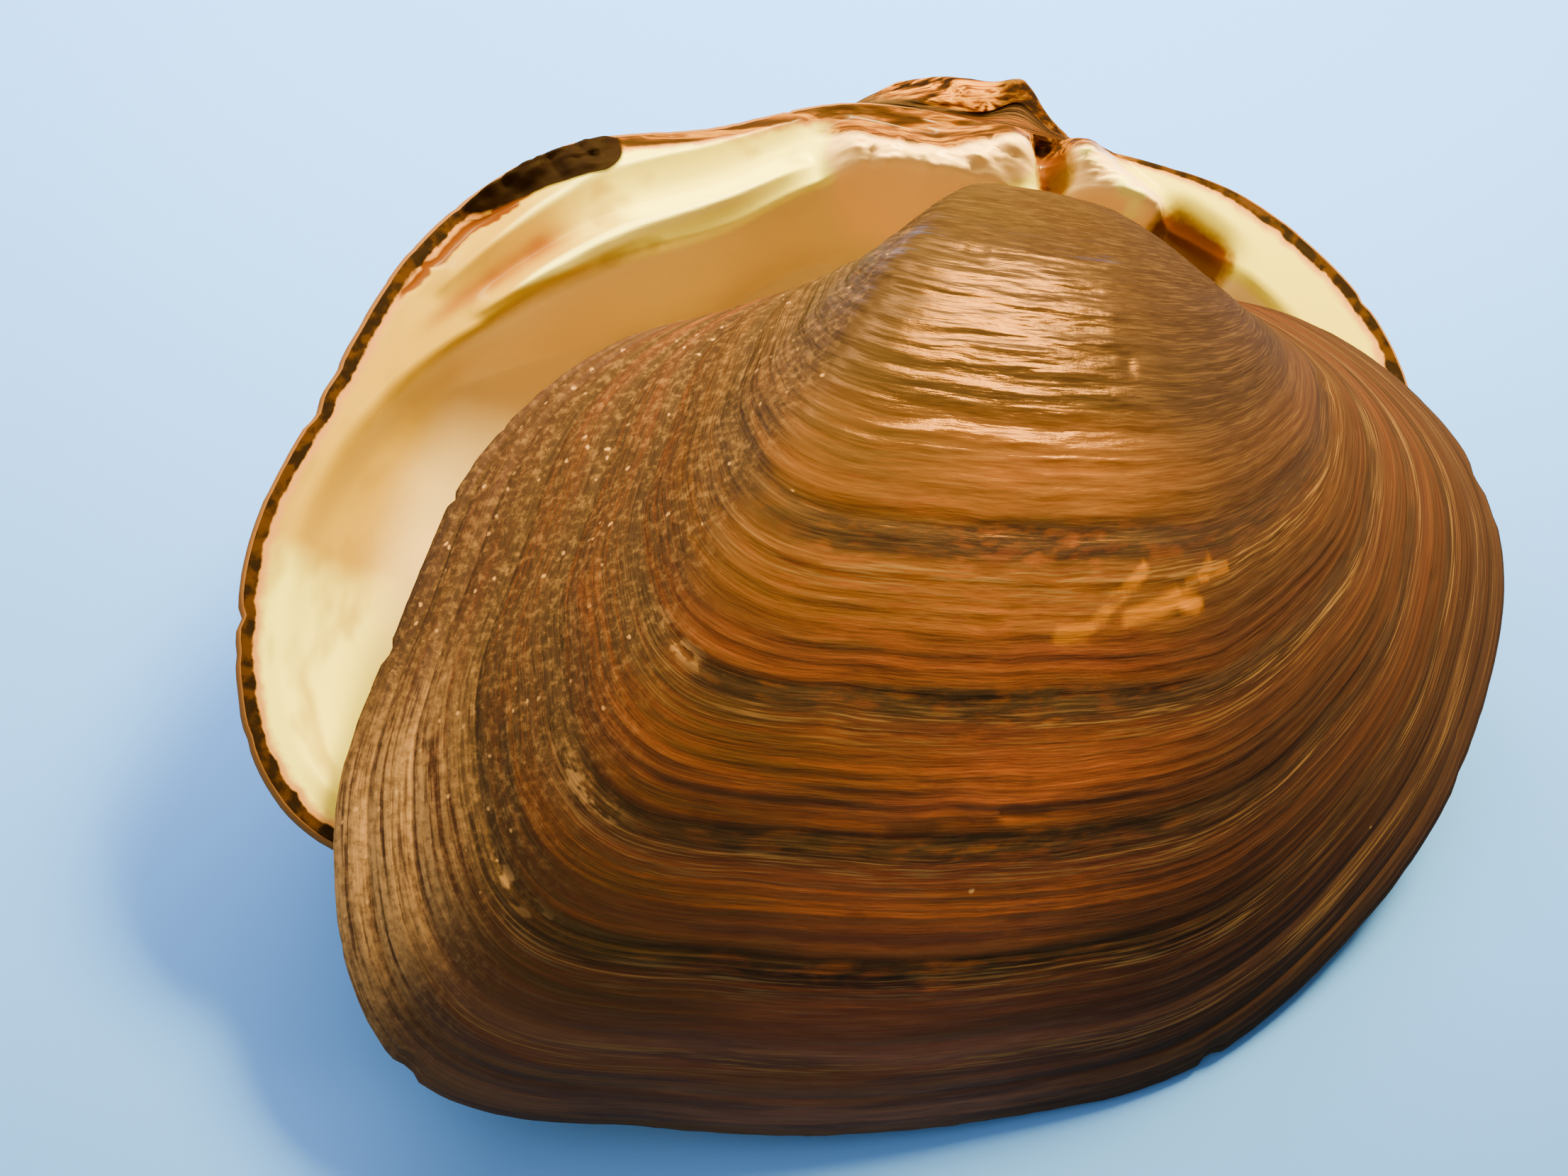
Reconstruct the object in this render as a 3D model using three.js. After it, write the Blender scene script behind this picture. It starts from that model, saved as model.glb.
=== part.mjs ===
// One freshwater mussel shell as its two loose halves, in millimetres, with +Z up and the front at -Y.
// The left valve lies open like a bowl. The right valve lies across its front edge like a dome.
// A valve grows from its beak along a coil, so every older margin is a smaller, turned copy of today's.
// A valve's own axes are anterior, dorsal, and outward from the plane where the two halves meet.
// Its beak is at 0, 0.
import * as THREE from "three";

const DEGREE = Math.PI / 180;
const FULL_TURN = 2 * Math.PI;

// Driving dimensions of the shell. The margin's radii and the rim's widths run from the front end round by
// the hinge, 22.5 degrees apart.
const OUTLINE_CENTRE = { anterior: -8, dorsal: -27 };
const OUTLINE_RADII = [
  37.5, 41, 36.4, 29.7, 26.2, 23.8, 25.9, 27.3, 28.7, 33.4, 35.7, 29.4, 26.7, 26.8, 29.8, 32.9,
];
const RIM_WIDTHS = [2.8, 4.2, 4.8, 5.6, 5.2, 6.4, 8.2, 7, 3, 2.2, 2.2, 2.2, 2.2, 2.2, 2.2, 2.2];
const HINGE_LINE = -0.4;
const HINGE_BLEND = 0.7;
const COIL_RATE = 1.12;
const EARLY_FLATNESS = 0.51;
const FLATNESS_FADE = 4;
const LIP_THICKNESS = 0.8;
const LIP_INSET = 0.4;
const WALL_THICKNESS = 2.4;
const RIM_EDGE_RUN = 2.2;

// Outer relief: growth pauses as stages of today's size, the bulge between them and the ridge to the rear
const BEAK_STAGE = 0.045;
const EARLY_STAGES = [0.075, 0.11, 0.155, 0.21];
const PAUSE_STAGES = [0.28, 0.365, 0.44, 0.515, 0.62, 0.725, 0.825, 0.9, 0.955, 1];
const BULGE_BETWEEN_PAUSES = 0.35;
const RIDGE = { angle: 222 * DEGREE, spread: 9 * DEGREE, height: 0.7 };
const HOLLOW_BEHIND_RIDGE = { angle: 192 * DEGREE, spread: 14 * DEGREE, height: -0.6 };
const RELIEF_FADE_DEPTH = 14;
const SWELL_END_SHARPNESS = 8;

// How finely the faceted surface follows the shape
const ANGLES = 60;
const HINGE_SIDE = 105 * DEGREE;
const HINGE_CROWDING = 0.4;
const LIP_STEPS = [0.35, 0.8];
const RIM_STEPS = [0, 0.22, 0.42, 0.62, 0.84, 1];
const CAVITY_STEPS = [0.97, 0.93, 0.87, 0.78, 0.66, 0.52, 0.36, 0.18];
const SLOPE_STEP = 1e-3;
const STEEPEST_TURN = 0.49 * Math.PI;
const HEIGHT_SEARCHES = 24;

// Lateral teeth run back along the rim, each from its first to its last share of the rim's width. Other
// ridges and pits lie on lines of anterior and dorsal places, and a pit has a negative height.
const LATERAL_TEETH_START = 96 * DEGREE;
const LATERAL_TEETH_END = 163 * DEGREE;
const LATERAL_TOOTH_REACH = 0.24;
const LEFT_VALVE = {
  name: "left_valve",
  mirrored: true,
  place: [6.84, 26.55, 25.53],
  turn: { pitch: 23.2 * DEGREE, roll: 8.4 * DEGREE, yaw: -11.1 * DEGREE },
  colour: 0xd9b26a,
  roughness: 0.35,
  lateralTeeth: [{ shares: [0.22, 0.49], height: 1.6 }, { shares: [0.8, 0.93], height: 2.2 }],
  relief: [
    { what: "rear cardinal tooth", line: [[-8, -5], [-2.6, -4.7], [1.4, -2.6]], height: 2.6, reach: 2.6 },
    { what: "socket between teeth", line: [[4, -1.4], [4.8, -3.6]], height: -1.6, reach: 1.6 },
    { what: "front cardinal tooth", line: [[6, -2.2], [8.4, -3.6], [10.4, -4.6]], height: 3, reach: 2.6 },
    { what: "front muscle scar", line: [[13.2, -5], [15.4, -6]], height: -1.8, reach: 3 },
    { what: "rear muscle scar", line: [[-31, -27], [-30, -25]], height: -0.6, reach: 4.5 },
    { what: "dark lump on the edge", line: [[-30.5, -12.4], [-27, -10], [-24, -8.6]], height: 1, reach: 1.6 },
  ],
};
const RIGHT_VALVE = {
  name: "right_valve",
  mirrored: false,
  place: [9.63, 15.78, 23.37],
  turn: { pitch: 27.3 * DEGREE, roll: 9.1 * DEGREE, yaw: -5.8 * DEGREE },
  colour: 0x5c4027,
  roughness: 0.5,
  lateralTeeth: [{ shares: [0.5, 0.7], height: 2 }],
  relief: [
    { what: "cardinal tooth", line: [[3.2, -2], [5.4, -4.8]], height: 3, reach: 2.6 },
    { what: "socket behind it", line: [[-6, -4], [-1.5, -3.4]], height: -1.2, reach: 2.2 },
    { what: "socket in front of it", line: [[8.6, -3.8], [10.4, -6]], height: -1, reach: 1.6 },
    { what: "front muscle scar", line: [[13, -5.6], [15, -7]], height: -1.6, reach: 3.2 },
    { what: "rear muscle scar", line: [[-31, -27], [-30, -25]], height: -0.6, reach: 4.5 },
  ],
};

// A smooth curve through values that are evenly spaced round the outline.
function aroundOutline(values, angle) {
  const count = values.length;
  const place = (((angle / FULL_TURN) % 1) + 1) % 1 * count;
  const first = Math.floor(place);
  const t = place - first;
  const [p0, p1, p2, p3] = [-1, 0, 1, 2].map((step) => values[(first + step + count) % count]);
  const bend = 2 * p0 - 5 * p1 + 4 * p2 - p3 + t * (3 * (p1 - p2) + p3 - p0);
  return p1 + 0.5 * t * (p2 - p0 + t * bend);
}

function angleBetween(a, b) {
  const apart = (a - b) % FULL_TURN;
  return Math.min(Math.abs(apart), FULL_TURN - Math.abs(apart));
}

function swellAt(angle, swell) {
  return swell.height * Math.exp(-((angleBetween(angle, swell.angle) / swell.spread) ** 2));
}

// The margin bends flat under the hinge line instead of crossing it.
function underHinge(dorsal) {
  return HINGE_LINE - HINGE_BLEND * Math.log(1 + Math.exp((HINGE_LINE - dorsal) / HINGE_BLEND));
}

function planPoint(angle, radius) {
  const anterior = OUTLINE_CENTRE.anterior + radius * Math.cos(angle);
  const dorsal = OUTLINE_CENTRE.dorsal + radius * Math.sin(angle);
  return { anterior, dorsal: underHinge(dorsal) };
}

function marginPoint(angle) {
  return planPoint(angle, aroundOutline(OUTLINE_RADII, angle));
}

// How far a stage stands off the hinge line, as a share of today's size. Early stages stand a little nearer.
function standOff(stage) {
  return stage * (1 - EARLY_FLATNESS * (1 - stage) ** FLATNESS_FADE);
}

function coiledPoint(angle, stage) {
  const margin = marginPoint(angle);
  const turn = COIL_RATE * Math.log(1 / stage);
  const reach = standOff(stage) * margin.dorsal;
  return new THREE.Vector3(stage * margin.anterior, reach * Math.cos(turn), -reach * Math.sin(turn));
}

function reliefBetweenPauses(stage) {
  const next = PAUSE_STAGES.findIndex((pause) => stage <= pause);
  if (next < 1) return 0;
  const share = (stage - PAUSE_STAGES[next - 1]) / (PAUSE_STAGES[next] - PAUSE_STAGES[next - 1]);
  return BULGE_BETWEEN_PAUSES * Math.sqrt(Math.max(0, Math.sin(Math.PI * share)));
}

function outerPoint(angle, stage) {
  const base = coiledPoint(angle, stage);
  const along = coiledPoint(angle + SLOPE_STEP, stage).sub(coiledPoint(angle - SLOPE_STEP, stage));
  const outwards = coiledPoint(angle, stage + SLOPE_STEP).sub(coiledPoint(angle, stage - SLOPE_STEP));
  const normal = outwards.cross(along).normalize();
  const swells = swellAt(angle, RIDGE) + swellAt(angle, HOLLOW_BEHIND_RIDGE);
  const fade = Math.min(1, -marginPoint(angle).dorsal / RELIEF_FADE_DEPTH) ** 2;
  const lift = fade * (reliefBetweenPauses(stage) + swells * stage * (1 - stage ** SWELL_END_SHARPNESS));
  return base.addScaledVector(normal, lift).add(new THREE.Vector3(0, 0, LIP_THICKNESS));
}

// The outer surface's height over a place inside the margin, found by halving the range of stages.
function outerHeight(anterior, dorsal) {
  let low = Math.exp(-STEEPEST_TURN / COIL_RATE);
  let high = 1;
  for (let i = 0; i < HEIGHT_SEARCHES; i += 1) {
    const stage = (low + high) / 2;
    const turn = COIL_RATE * Math.log(1 / stage);
    const x = anterior / stage - OUTLINE_CENTRE.anterior;
    const y = dorsal / (standOff(stage) * Math.cos(turn)) - OUTLINE_CENTRE.dorsal;
    const inside = Math.hypot(x, y) < aroundOutline(OUTLINE_RADII, Math.atan2(y, x));
    if (inside) high = stage;
    else low = stage;
  }
  return -dorsal * Math.tan(COIL_RATE * Math.log(1 / high));
}

function smoothStep(share) {
  const t = Math.min(1, Math.max(0, share));
  return t * t * (3 - 2 * t);
}

function distanceToLine(anterior, dorsal, line) {
  let nearest = Infinity;
  for (let i = 1; i < line.length; i += 1) {
    const [x0, y0] = line[i - 1];
    const [dx, dy] = [line[i][0] - x0, line[i][1] - y0];
    const t = ((anterior - x0) * dx + (dorsal - y0) * dy) / (dx * dx + dy * dy);
    const along = Math.min(1, Math.max(0, t));
    nearest = Math.min(nearest, Math.hypot(anterior - x0 - along * dx, dorsal - y0 - along * dy));
  }
  return nearest;
}

function lateralTeethHeight(angle, share, teeth) {
  const middle = (LATERAL_TEETH_START + LATERAL_TEETH_END) / 2;
  const half = (LATERAL_TEETH_END - LATERAL_TEETH_START) / 2;
  const taper = Math.max(0, 1 - (angleBetween(angle, middle) / half) ** 4);
  const back = smoothStep((angle - LATERAL_TEETH_START) / (LATERAL_TEETH_END - LATERAL_TEETH_START));
  return teeth.reduce((sum, { shares: [first, last], height }) => {
    const apart = Math.abs(share - first - back * (last - first)) / LATERAL_TOOTH_REACH;
    return sum + height * taper * Math.max(0, 1 - apart);
  }, 0);
}

function innerRelief(anterior, dorsal, relief) {
  return relief.reduce((sum, { line, height, reach }) => {
    const share = distanceToLine(anterior, dorsal, line) / reach;
    return sum + (share < 1 ? height * (1 - share * share) ** 2 : 0);
  }, 0);
}

// The inner side is a rim or hinge plate in the meeting plane, then the cavity, with teeth and scars on both.
function innerPoint(angle, inset, valve) {
  const { anterior, dorsal } = planPoint(angle, aroundOutline(OUTLINE_RADII, angle) - inset);
  const rimWidth = aroundOutline(RIM_WIDTHS, angle);
  const fromRim = inset - rimWidth;
  const hollow = fromRim > 0 ? Math.max(0, outerHeight(anterior, dorsal) - WALL_THICKNESS) : 0;
  const teeth = lateralTeethHeight(angle, inset / rimWidth, valve.lateralTeeth);
  const relief = teeth + innerRelief(anterior, dorsal, valve.relief);
  return new THREE.Vector3(anterior, dorsal, hollow * smoothStep(fromRim / RIM_EDGE_RUN) - relief);
}

function lipPoint(angle, share) {
  const inset = LIP_INSET * (1 - Math.cos(share * Math.PI / 2));
  const { anterior, dorsal } = planPoint(angle, aroundOutline(OUTLINE_RADII, angle) - inset);
  return new THREE.Vector3(anterior, dorsal, LIP_THICKNESS * (1 - Math.sin(share * Math.PI / 2)));
}

function outerStages() {
  const stages = [BEAK_STAGE, ...EARLY_STAGES];
  PAUSE_STAGES.forEach((pause, i) => {
    if (i > 0) stages.push((PAUSE_STAGES[i - 1] + pause) / 2);
    stages.push(pause);
  });
  return stages;
}

function ringAngles() {
  return Array.from({ length: ANGLES }, (_, i) => {
    const even = i * FULL_TURN / ANGLES;
    return even - HINGE_CROWDING * Math.sin(even - HINGE_SIDE);
  });
}

// Rings run from the beak over the outside to the lip, across the rim and down into the cavity.
function valveRings(valve) {
  const angles = ringAngles();
  const rimInset = (angle, share) => LIP_INSET + share * (aroundOutline(RIM_WIDTHS, angle) - LIP_INSET);
  const cavityInset = (angle, share) => {
    const rimWidth = aroundOutline(RIM_WIDTHS, angle);
    return rimWidth + (1 - share) * (aroundOutline(OUTLINE_RADII, angle) - rimWidth);
  };
  const innerRing = (insetAt, share) => {
    return angles.map((angle) => innerPoint(angle, insetAt(angle, share), valve));
  };
  return [
    ...outerStages().map((stage) => angles.map((angle) => outerPoint(angle, stage))),
    ...LIP_STEPS.map((share) => angles.map((angle) => lipPoint(angle, share))),
    ...RIM_STEPS.map((share) => innerRing(rimInset, share)),
    ...CAVITY_STEPS.map((share) => innerRing(cavityInset, share)),
  ];
}

function middleOf(ring) {
  const sum = ring.reduce((total, point) => total.add(point), new THREE.Vector3());
  return sum.divideScalar(ring.length);
}

// A four-sided patch is split along its shorter diagonal.
function splitPatch(points, a, b, c, d) {
  const firstIsShorter = points[a].distanceTo(points[c]) <= points[b].distanceTo(points[d]);
  return firstIsShorter ? [[a, b, c], [a, c, d]] : [[a, b, d], [b, c, d]];
}

// One closed surface through the rings, with a point at each end. A mirrored valve's faces are turned round.
function skinOver(rings, mirrored) {
  const points = [middleOf(rings[0]), ...rings.flat(), middleOf(rings[rings.length - 1])];
  const at = (ring, i) => 1 + ring * ANGLES + (i % ANGLES);
  const last = points.length - 1;
  const faces = [];
  for (let i = 0; i < ANGLES; i += 1) {
    faces.push([0, at(0, i), at(0, i + 1)]);
    for (let ring = 1; ring < rings.length; ring += 1) {
      faces.push(...splitPatch(points, at(ring - 1, i), at(ring, i), at(ring, i + 1), at(ring - 1, i + 1)));
    }
    faces.push([at(rings.length - 1, i), last, at(rings.length - 1, i + 1)]);
  }
  const turned = mirrored ? faces.map(([a, b, c]) => [a, c, b]) : faces;
  const geometry = new THREE.BufferGeometry();
  geometry.setAttribute("position", new THREE.Float32BufferAttribute(points.flatMap((p) => p.toArray()), 3));
  geometry.setIndex(turned.flat());
  return geometry;
}

// What would reach below the floor is flattened onto it: the small flat spots that the valves lie on.
function flattenOnFloor(mesh) {
  mesh.updateMatrix();
  const back = mesh.matrix.clone().invert();
  const place = mesh.geometry.getAttribute("position");
  const point = new THREE.Vector3();
  for (let i = 0; i < place.count; i += 1) {
    point.fromBufferAttribute(place, i).applyMatrix4(mesh.matrix);
    if (point.z < 0) {
      point.setZ(0).applyMatrix4(back);
      place.setXYZ(i, point.x, point.y, point.z);
    }
  }
}

function makeValve(valve) {
  const rings = valveRings(valve);
  if (valve.mirrored) rings.flat().forEach((point) => point.setZ(-point.z));
  const { colour: color, roughness } = valve;
  const material = new THREE.MeshStandardMaterial({ color, roughness, metalness: 0 });
  const mesh = new THREE.Mesh(skinOver(rings, valve.mirrored), material);
  mesh.name = valve.name;
  mesh.position.set(...valve.place);
  mesh.rotation.set(valve.turn.pitch, valve.turn.roll, valve.turn.yaw, "XYZ");
  flattenOnFloor(mesh);
  mesh.geometry.computeVertexNormals();
  return mesh;
}

const shell = new THREE.Group();
shell.add(makeValve(LEFT_VALVE), makeValve(RIGHT_VALVE));

export default shell;
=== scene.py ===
"""A freshwater mussel shell as its two loose halves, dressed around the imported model.

The left half lies open with its pearly inside up. The right half lies across its front edge with its
brown outside up. Lengths are in millimetres until a mesh is made, and then in metres.
"""

import itertools
import math
from types import SimpleNamespace

import bpy
import numpy as np
from bpy.props import FloatProperty, FloatVectorProperty, PointerProperty
from mathutils import Matrix, Vector


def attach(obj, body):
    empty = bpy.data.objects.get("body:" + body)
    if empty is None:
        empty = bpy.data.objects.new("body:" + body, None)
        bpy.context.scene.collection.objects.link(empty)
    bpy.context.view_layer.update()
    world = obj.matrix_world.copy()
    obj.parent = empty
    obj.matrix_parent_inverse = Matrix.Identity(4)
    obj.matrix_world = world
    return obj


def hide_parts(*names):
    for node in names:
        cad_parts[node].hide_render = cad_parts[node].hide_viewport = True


bl_info = {
    "name": "Mussel Shell Halves",
    "version": (1, 0, 0),
    "blender": (4, 5, 0),
    "location": "3D View > Sidebar > Mussel Shell",
    "description": "Builds the two halves of a freshwater mussel shell and the stage they lie on",
    "category": "Object",
}

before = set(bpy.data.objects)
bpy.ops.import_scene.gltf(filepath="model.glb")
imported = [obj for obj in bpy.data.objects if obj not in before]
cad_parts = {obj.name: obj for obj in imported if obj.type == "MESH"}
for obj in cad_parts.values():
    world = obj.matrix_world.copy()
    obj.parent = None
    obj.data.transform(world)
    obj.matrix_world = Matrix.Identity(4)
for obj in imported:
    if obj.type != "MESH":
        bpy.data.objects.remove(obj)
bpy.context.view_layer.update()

MM = 0.001
DEGREE = math.pi / 180
FULL_TURN = 2 * math.pi


def radians(*degrees):
    return tuple(angle * DEGREE for angle in degrees)


# The solids' form, in the same named values. The radii and widths run from the front end round by the hinge.
OUTLINE_CENTRE = (-8.0, -27.0)
OUTLINE_RADII = (
    37.5, 41, 36.4, 29.7, 26.2, 23.8, 25.9, 27.3, 28.7, 33.4, 35.7, 29.4, 26.7, 26.8, 29.8, 32.9,
)
RIM_WIDTHS = (2.8, 4.2, 4.8, 5.6, 5.2, 6.4, 8.2, 7, 3, 2.2, 2.2, 2.2, 2.2, 2.2, 2.2, 2.2)
HINGE_LINE = -0.4
HINGE_BLEND = 0.7
COIL_RATE = 1.12
EARLY_FLATNESS = 0.51
FLATNESS_FADE = 4
LIP_THICKNESS = 0.8
LIP_INSET = 0.4
WALL_THICKNESS = 2.4
RIM_EDGE_RUN = 2.2
BEAK_STAGE = 0.045
PAUSE_STAGES = (0.28, 0.365, 0.44, 0.51, 0.62, 0.722, 0.822, 0.9, 0.955, 1.0)
PAUSE_DEPTHS = (0.4, 0.4, 0.4, 0.5, 1.0, 1.0, 0.9, 0.9, 0.7, 0.6, 0.3)
FLAKED_PAUSES = (0.62, 0.734, 0.82)
BULGE_BETWEEN_PAUSES = 0.35
RIDGE = {"angle": 222 * DEGREE, "spread": 9 * DEGREE, "height": 0.7}
HOLLOW_BEHIND_RIDGE = {"angle": 192 * DEGREE, "spread": 14 * DEGREE, "height": -0.6}
RELIEF_FADE_DEPTH = 14.0
SWELL_END_SHARPNESS = 8
LATERAL_TEETH_START = 96 * DEGREE
LATERAL_TEETH_END = 163 * DEGREE
LATERAL_TOOTH_REACH = 0.24
CREST_ROUNDING = 0.02
TOOTH_SHARPNESS = 1.6
SLOPE_STEP = 1e-3
STEEPEST_TURN = 0.49 * math.pi
HEIGHT_SEARCHES = 24

# Growth lines: each one rises slowly to a crest and drops over a short ledge to the next one's foot.
LINE_GAPS = (0.5, 1.5)
LINE_DEPTH_SHARES = (0.3, 1.5)
LINE_CROWDING_POWER = 1.3
LEDGE_RUN = 0.0011
SWELL_PLACE = 0.62
SWELL_RISE = 0.7
LINE_WAVER = 0.006
FINE_WAVER = 0.0016
LINE_UNEVENNESS = 0.6
SLOPE_LINE_SHARE = 0.5
SLOPE_EDGE = 218 * DEGREE
SLOPE_BLEND = 12 * DEGREE
SLOPE_BACK = 120 * DEGREE
HINGE_FADE = 5
YOUNG_STAGE = 0.3

# Wear on the outside. Each pair has the place where something starts, and its run, as risen takes them.
RIDGE_LINE_SPREAD = 6 * DEGREE
FLAKES = {"behind_pause": 0.004, "run": 0.008}
GRIT_GRAIN = 0.9
PITS = {"spacing": 2.1, "rise": (0.8, 0.12)}
BEAK_CRUST = {"fade": (0.22, -0.07), "raggedness": 0.05, "grain": 1.5}
CHIPPED_STAGE = 0.955
CHIPS = {"wear_waves": 26, "wear_share": 0.35, "chip_waves": 21, "rise": (0.35, 0.3), "fade": 1.4}

# The left beak is raised to a corner at its front and is a little lower behind it.
BEAK_CORNER = {"anterior": 1.8, "dorsal": 0.9, "reach": 1.7, "lift": 1.8}
BEAK_DIP = {"stage": 0.11, "spread": 0.05, "angle": 205 * DEGREE, "width": 40 * DEGREE, "depth": 0.5}

# Yellow streaks on the right half. Each has places along a growth line and down from the beak, a strength
# and a reach.
STREAK_SCALE = (20.0, 65.0)
STREAKS = (
    (((98.3, 37.7), (100.5, 37.4), (103.5, 35.5), (104.6, 34.9)), 1, 0.65),
    (((103.5, 37.0), (107.2, 36.3), (108.7, 36.8)), 1, 0.75),
    (((108.0, 35.7), (111.2, 35.4)), 0.7, 0.5),
    (((109.2, 35.5), (109.8, 34.8)), 0.7, 0.5),
)

# Each relief line has a list of anterior and dorsal places, a height and a reach. A pit has a negative
# height. A lateral tooth has its first and last share of the rim's width, and a height.
LEFT_VALVE = {
    "name": "left_half",
    "node": "left_valve",
    "slot": "nacre_shell",
    "mirrored": True,
    "place": (6.84, 26.55, 25.53),
    "turn": radians(23.2, 8.4, -11.1),
    "lateral_teeth": ((0.22, 0.49, 1.7), (0.8, 0.93, 2.3)),
    "cardinal_teeth": (
        (((-8, -5), (-2.6, -4.7), (1.4, -2.6)), 2.6, 2.6),
        (((6, -2.2), (8.4, -3.6), (10.4, -4.6)), 3.0, 2.6),
    ),
    "scars": (
        (((4, -1.4), (4.8, -3.6)), -1.6, 1.6),
        (((13.2, -5), (15.4, -6)), -1.8, 3.0),
        (((-31, -27), (-30, -25)), -0.3, 4.5),
    ),
    "lumps": ((((-30.5, -12.4), (-27, -10), (-24, -8.6)), 1.3, 2.4),),
    "knobbed": True,
    "streaks": (),
    "columns": 360,
    "crowding": 0.3,
    "growth_lines": 41,
    "rim_rows": 52,
    "cavity_rows": 92,
    "seed": 11,
}
RIGHT_VALVE = {
    "name": "right_half",
    "node": "right_valve",
    "slot": "brown_shell",
    "mirrored": False,
    "place": (9.63, 15.78, 23.37),
    "turn": radians(27.3, 9.1, -5.8),
    "lateral_teeth": ((0.5, 0.7, 2.0),),
    "cardinal_teeth": ((((3.2, -2), (5.4, -4.8)), 3.0, 2.6),),
    "scars": (
        (((-6, -4), (-1.5, -3.4)), -1.2, 2.2),
        (((8.6, -3.8), (10.4, -6)), -1.0, 1.6),
        (((13, -5.6), (15, -7)), -1.6, 3.2),
        (((-31, -27), (-30, -25)), -0.6, 4.5),
    ),
    "lumps": (),
    "knobbed": False,
    "streaks": STREAKS,
    "columns": 340,
    "crowding": 0.0,
    "growth_lines": 77,
    "rim_rows": 18,
    "cavity_rows": 36,
    "seed": 5,
}
LIGAMENT = {
    "start": radians(55, 8), "end": radians(150, -20), "step": radians(99, -6), "narrow": (1.5, -0.5),
    "past_crest": (0.5, 0.7),
}
HINGE_LAYERS = {"length": 5, "thickness": 0.9}
JAGGED_SEAM = {
    "start": radians(138, 8), "end": radians(168, -6), "behind_tooth": 0.24, "width": 0.05,
    "wander": 0.08, "waves": 28, "depth": 0.15,
}
GROOVE = {"start": (0.55, 0.25), "end": (1.15, -0.2), "width": 0.3}
FRONT_END = {"angle": 10 * DEGREE, "fade": radians(69, -14)}

# Uneven relief on the inside: a height, a grain in millimetres, a slice of the noise and its layers.
TOOTH_JAGS = (0.3, 0.8, 1.5, 3)
LUMP_WRINKLES = (0.9, 1.1, 5.5, 3)
LATERAL_WAVES = (0.08, 1.6, 3.5, 1)
PEARL_RIPPLE = (0.05, 5, 8.5, 3)
RIPPLE_START = 3
RIM_CRUST = (0.12, 0.9, 12.5, 3)
RIM_CRUST_WIDTH = 0.6

LIP_ROWS = 5
HINGE_SIDE = 105 * DEGREE
BAKE_MAP = "OFBake"
MAP_END = 0.01

# Lights: bearings run from the back towards the right. Angles are in degrees.
WINDOW = {
    "aim": (0, 0.035, 0.02), "bearing": 54, "rise": 58, "distance": 0.3,
    "width": 0.11, "height": 0.085, "spread": 46,
}
SKY = {
    "aim": (0, 0.02, 0.02), "bearing": -110, "rise": 60, "distance": 0.5,
    "width": 0.7, "height": 0.7, "spread": 120,
}
BACKDROP = {
    "aim": (0, 0.09, 0), "bearing": 0, "rise": 88, "distance": 0.13,
    "width": 0.26, "height": 0.06, "spread": 110,
}

# The camera's target and distance are in millimetres, and the two lengths after them in metres.
CAMERA = {"target": (-6.26, -5.59, 19.9), "rise": 57 * DEGREE, "distance": 165, "lens": 64.6, "sensor": 36}
NEAREST_SEEN = 0.01
FLOOR_SIZE = 3


def tint(red, green, blue):
    """A screen colour of 0 to 255 as the linear colour that shaders use."""
    shares = [value / 255 for value in (red, green, blue)]
    return tuple(s / 12.92 if s <= 0.04045 else ((s + 0.055) / 1.055) ** 2.4 for s in shares)


def colour_property(name, description, colour):
    return FloatVectorProperty(
        name=name, description=description, subtype="COLOR", size=3, min=0, max=1, default=tint(*colour),
    )


def depth_property(name, description, millimetres):
    return FloatProperty(
        name=name, description=description, unit="LENGTH", min=0, precision=5, default=millimetres * MM,
    )


def power_property(name, description, watts):
    return FloatProperty(name=name, description=description, unit="POWER", default=watts)


class ReliefSizes(bpy.types.PropertyGroup):
    """Depths of the shell's fine relief."""

    line_depth: depth_property("Growth line depth", "Usual drop at a growth line", 0.05)
    pause_depth: depth_property("Growth pause depth", "Drop where growth paused", 0.12)
    grit_depth: depth_property("Slope grit", "Roughness of the dull rear slope", 0.05)
    chip_depth: depth_property("Edge chips", "How far the thin edge is chipped back", 0.42)
    flake_depth: depth_property("Ridge flakes", "Roughness of the worn flakes along the ridge", 0.15)
    pit_depth: depth_property("Pits", "Depth of the few small pits in the skin", 0.15)
    layer_depth: depth_property("Hinge layers", "Roughness of the layers at the hinge", 0.16)


class SkinColours(bpy.types.PropertyGroup):
    """Colours of the brown horny skin outside."""

    ochre: colour_property("Ochre", "Worn ochre of the beak", (68, 45, 24))
    umbo: colour_property("Umbo", "Tan brown of the older part", (56, 38, 21))
    brown: colour_property("Brown", "Usual brown between growth pauses", (104, 56, 36))
    orange: colour_property("Orange", "Bright bands and blotches", (146, 77, 36))
    pause: colour_property("Pause", "Dark brown at growth pauses", (50, 35, 27))
    tawny: colour_property("Tawny", "Tan orange before and after the first dark pause", (118, 70, 30))
    russet: colour_property("Russet", "Reddish brown between the bright bands", (106, 54, 32))
    margin: colour_property("Margin", "Blackish brown near the edge", (102, 67, 54))
    slate: colour_property("Slate", "Cool dark bands near the edge", (56, 44, 44))
    dust: colour_property("Dust", "Dull bloom on the rear slope", (66, 47, 29))
    olive: colour_property("Olive", "Dull olive brown veil", (66, 49, 25))
    straw: colour_property("Straw", "Fine tan hairlines", (120, 88, 50))
    yellow: colour_property("Yellow", "Yellow streaks on the disc", (162, 98, 14))
    fleck: colour_property("Fleck", "Pale specks and worn lamella edges", (184, 136, 80))
    edge: colour_property("Edge", "Thin edge of the shell", (140, 92, 44))


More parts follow.
